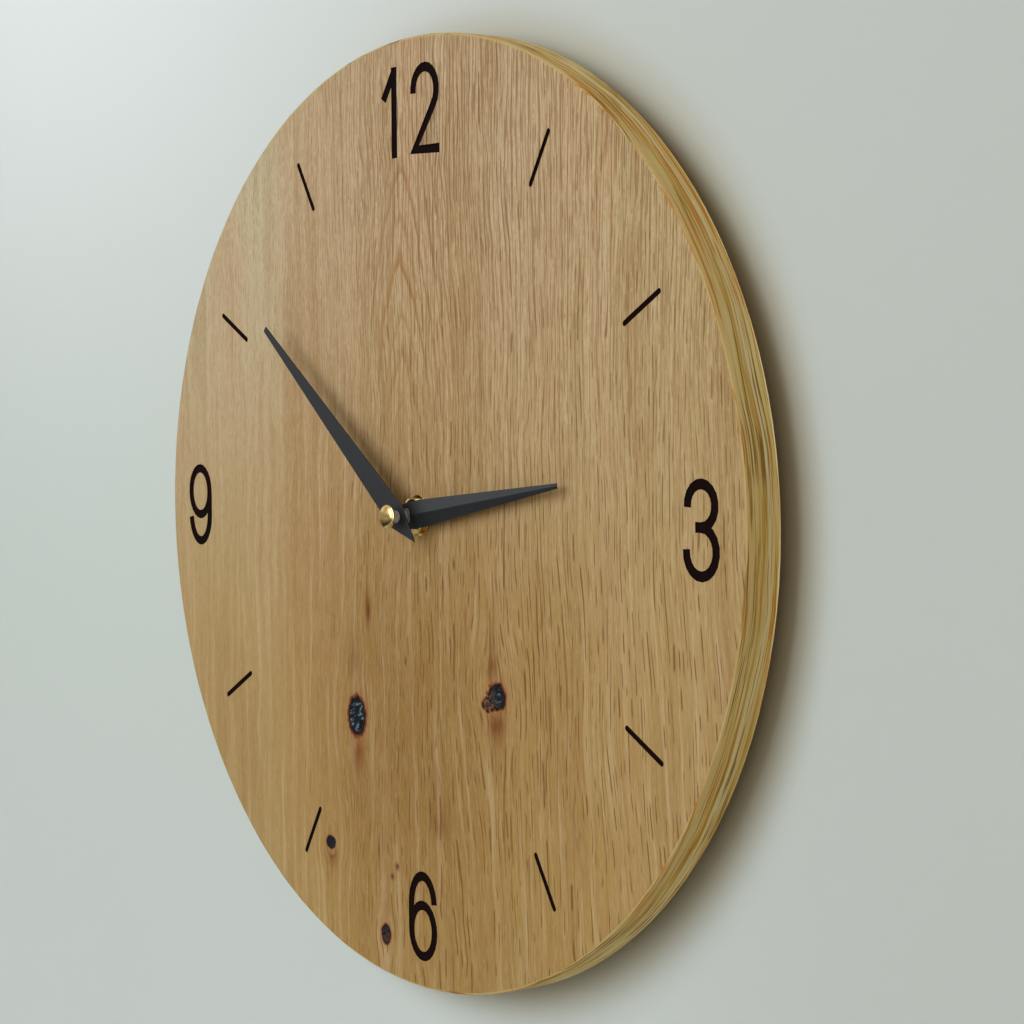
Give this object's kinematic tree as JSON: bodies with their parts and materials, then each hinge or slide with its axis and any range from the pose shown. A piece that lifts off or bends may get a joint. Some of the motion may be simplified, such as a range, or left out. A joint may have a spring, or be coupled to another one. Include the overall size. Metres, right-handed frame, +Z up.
{
  "type": "wooden wall clock",
  "caption": "Round solid oak wall clock with burnt numerals and hour marks, black metal hands and a battery quartz movement set into its back.",
  "frame": {"origin": "on the hand axis, at the flat outer face of the rear cover that rests against the wall", "axes": "+Z up towards the twelve, +X towards the three, +Y into the wall, so the dial faces -Y"},
  "size_m": [0.3, 0.034, 0.3],
  "materials": {
    "oak": "oiled oak, straight grain, burnt marks",
    "black_plastic": "moulded, satin",
    "white_plastic": "moulded, satin",
    "grey_plastic": "moulded, satin",
    "steel": "bright",
    "grey_metal": "turned, dull grey",
    "rubber": "matt",
    "brass": "turned, clear lacquer",
    "magnet": "bonded magnet, dark grey",
    "soft_iron": "pressed sheet",
    "copper": "enamelled copper wire",
    "board": "green laminate",
    "epoxy": "black potting",
    "cell_sleeve": "plain green sleeve, no print",
    "hand_paint": "satin black paint"
  },
  "bodies": {
    "clock_body": {"oak_panel": "oak", "movement_case": "black_plastic", "rear_cover": "black_plastic", "train_plate": "white_plastic", "plate_screw_1": "steel", "plate_screw_2": "steel", "plate_screw_3": "steel", "plate_screw_4": "steel", "rubber_washer": "rubber", "brass_washer": "brass", "brass_nut": "brass", "stator": "soft_iron", "coil_core": "soft_iron", "coil_bobbin": "black_plastic", "coil_winding": "copper", "motor_screw_1": "steel", "motor_screw_2": "steel", "circuit_board": "board", "quartz_crystal": "steel", "driver_chip": "epoxy", "battery_cell": "cell_sleeve", "positive_contact": "steel", "negative_contact": "steel"},
    "minute_hand_group": {"minute_arbor": "grey_metal", "centre_wheel": "white_plastic", "minute_hand": "hand_paint", "minute_spacer": "grey_metal", "minute_collar": "grey_metal", "cap_nut": "brass"},
    "hour_hand_group": {"hour_wheel": "grey_plastic", "hour_hand": "hand_paint", "hour_hand_bush": "grey_metal"},
    "work_wheel_group": {"work_wheel": "white_plastic"},
    "set_knob_group": {"set_knob": "black_plastic", "setting_pinion": "white_plastic"},
    "third_wheel_group": {"third_wheel": "white_plastic"},
    "seconds_wheel_group": {"seconds_wheel": "white_plastic"},
    "fifth_wheel_group": {"fifth_wheel": "white_plastic"},
    "rotor_group": {"rotor_pinion": "white_plastic", "rotor_magnet": "magnet"}
  },
  "joints": [
    {"name": "minute_hand_turn", "type": "hinge", "parent": "clock_body", "child": "minute_hand_group", "pos_m": [0, 0, 0], "axis": [0, 1, 0], "continuous": true},
    {"name": "hour_hand_turn", "type": "hinge", "parent": "clock_body", "child": "hour_hand_group", "pos_m": [0, 0, 0], "axis": [0, 1, 0], "continuous": true},
    {"name": "work_wheel_turn", "type": "hinge", "parent": "clock_body", "child": "work_wheel_group", "pos_m": [0, 0, 0.0084], "axis": [0, 1, 0], "continuous": true},
    {"name": "set_knob_turn", "type": "hinge", "parent": "clock_body", "child": "set_knob_group", "pos_m": [0, 0, 0.0168], "axis": [0, 1, 0], "continuous": true},
    {"name": "third_wheel_turn", "type": "hinge", "parent": "clock_body", "child": "third_wheel_group", "pos_m": [-0.00795, 0, 0.00459], "axis": [0, 1, 0], "continuous": true},
    {"name": "seconds_wheel_turn", "type": "hinge", "parent": "clock_body", "child": "seconds_wheel_group", "pos_m": [0, 0, 0], "axis": [0, 1, 0], "continuous": true},
    {"name": "fifth_wheel_turn", "type": "hinge", "parent": "clock_body", "child": "fifth_wheel_group", "pos_m": [0.00888, 0, 0.00323], "axis": [0, 1, 0], "continuous": true},
    {"name": "rotor_turn", "type": "hinge", "parent": "clock_body", "child": "rotor_group", "pos_m": [0.01397, 0, 0.00833], "axis": [0, 1, 0], "continuous": true}
  ],
  "couplings": [
    {"joint": "work_wheel_turn", "follows": "minute_hand_turn", "ratio": -0.33333},
    {"joint": "hour_hand_turn", "follows": "minute_hand_turn", "ratio": 0.083333},
    {"joint": "set_knob_turn", "follows": "minute_hand_turn", "ratio": 1},
    {"joint": "third_wheel_turn", "follows": "minute_hand_turn", "ratio": -8},
    {"joint": "seconds_wheel_turn", "follows": "minute_hand_turn", "ratio": 60},
    {"joint": "fifth_wheel_turn", "follows": "minute_hand_turn", "ratio": -300},
    {"joint": "rotor_turn", "follows": "minute_hand_turn", "ratio": 1800}
  ]
}
